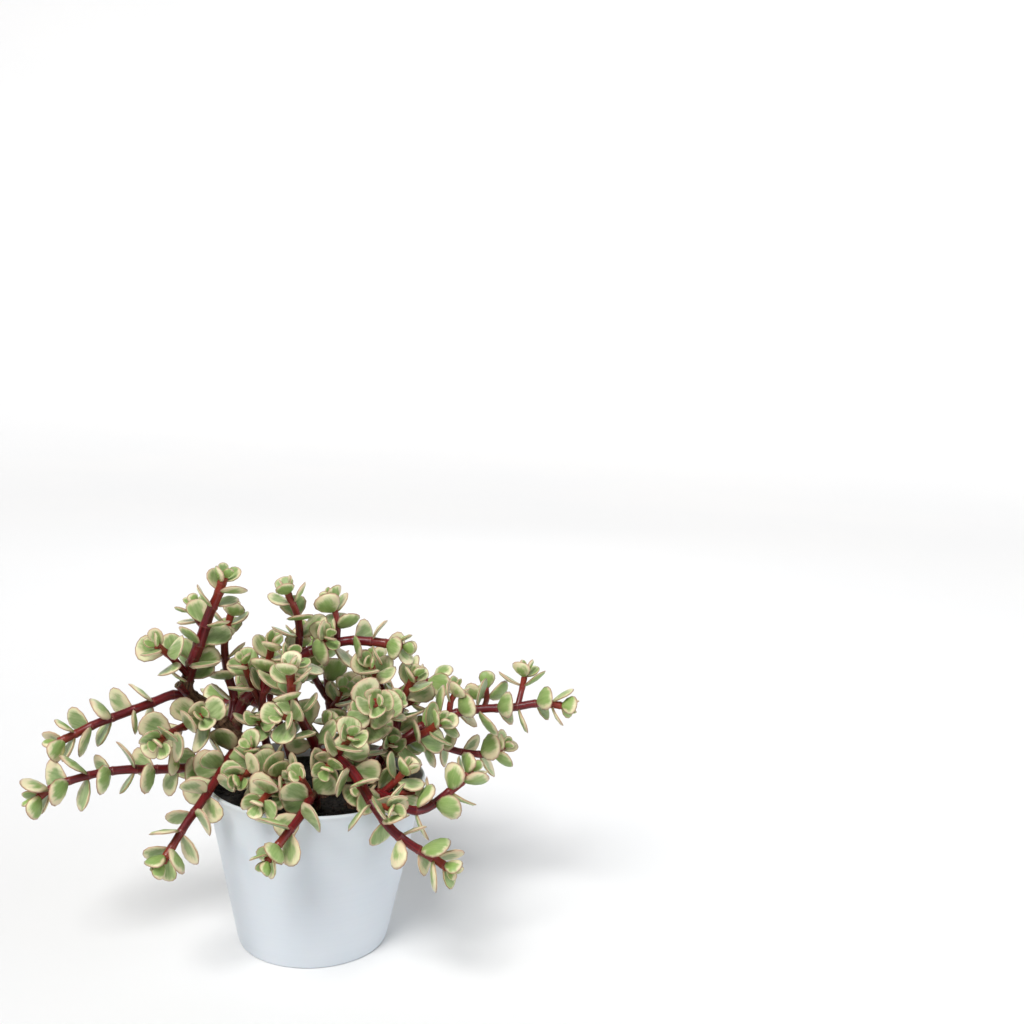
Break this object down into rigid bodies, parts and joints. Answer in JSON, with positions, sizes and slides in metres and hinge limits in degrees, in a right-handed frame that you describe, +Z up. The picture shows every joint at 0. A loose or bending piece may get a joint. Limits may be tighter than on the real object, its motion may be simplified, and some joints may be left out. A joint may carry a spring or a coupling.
{
  "type": "potted elephant bush",
  "caption": "Variegated elephant bush, a succulent with fleshy cream-edged leaves on red stems, growing in a plain white tapered pot.",
  "frame": {"origin": "centre of the pot's flat base, on the surface that it stands on", "axes": "+Z up along the pot's axis, -Y towards the plant's front as pictured, +X to the viewer's right"},
  "size_m": [0.2957, 0.2026, 0.209],
  "materials": {
    "white_pot": "satin white plastic with a faint blue cast",
    "potting_soil": "dark crumbly potting soil",
    "foliage": "fleshy green leaves with cream margins on glossy dark red stems"
  },
  "bodies": {
    "root": {"pot": "white_pot", "soil": "potting_soil", "woody_stem": "foliage", "left_stem": "foliage", "upright_stem": "foliage", "middle_stem": "foliage", "front_stem": "foliage", "left_front_stem": "foliage", "right_middle_stem": "foliage", "right_upright_stem": "foliage", "right_stem": "foliage", "right_back_stem": "foliage", "right_low_stem": "foliage", "back_left_stem": "foliage", "back_stem": "foliage", "back_right_stem": "foliage"}
  },
  "joints": []
}
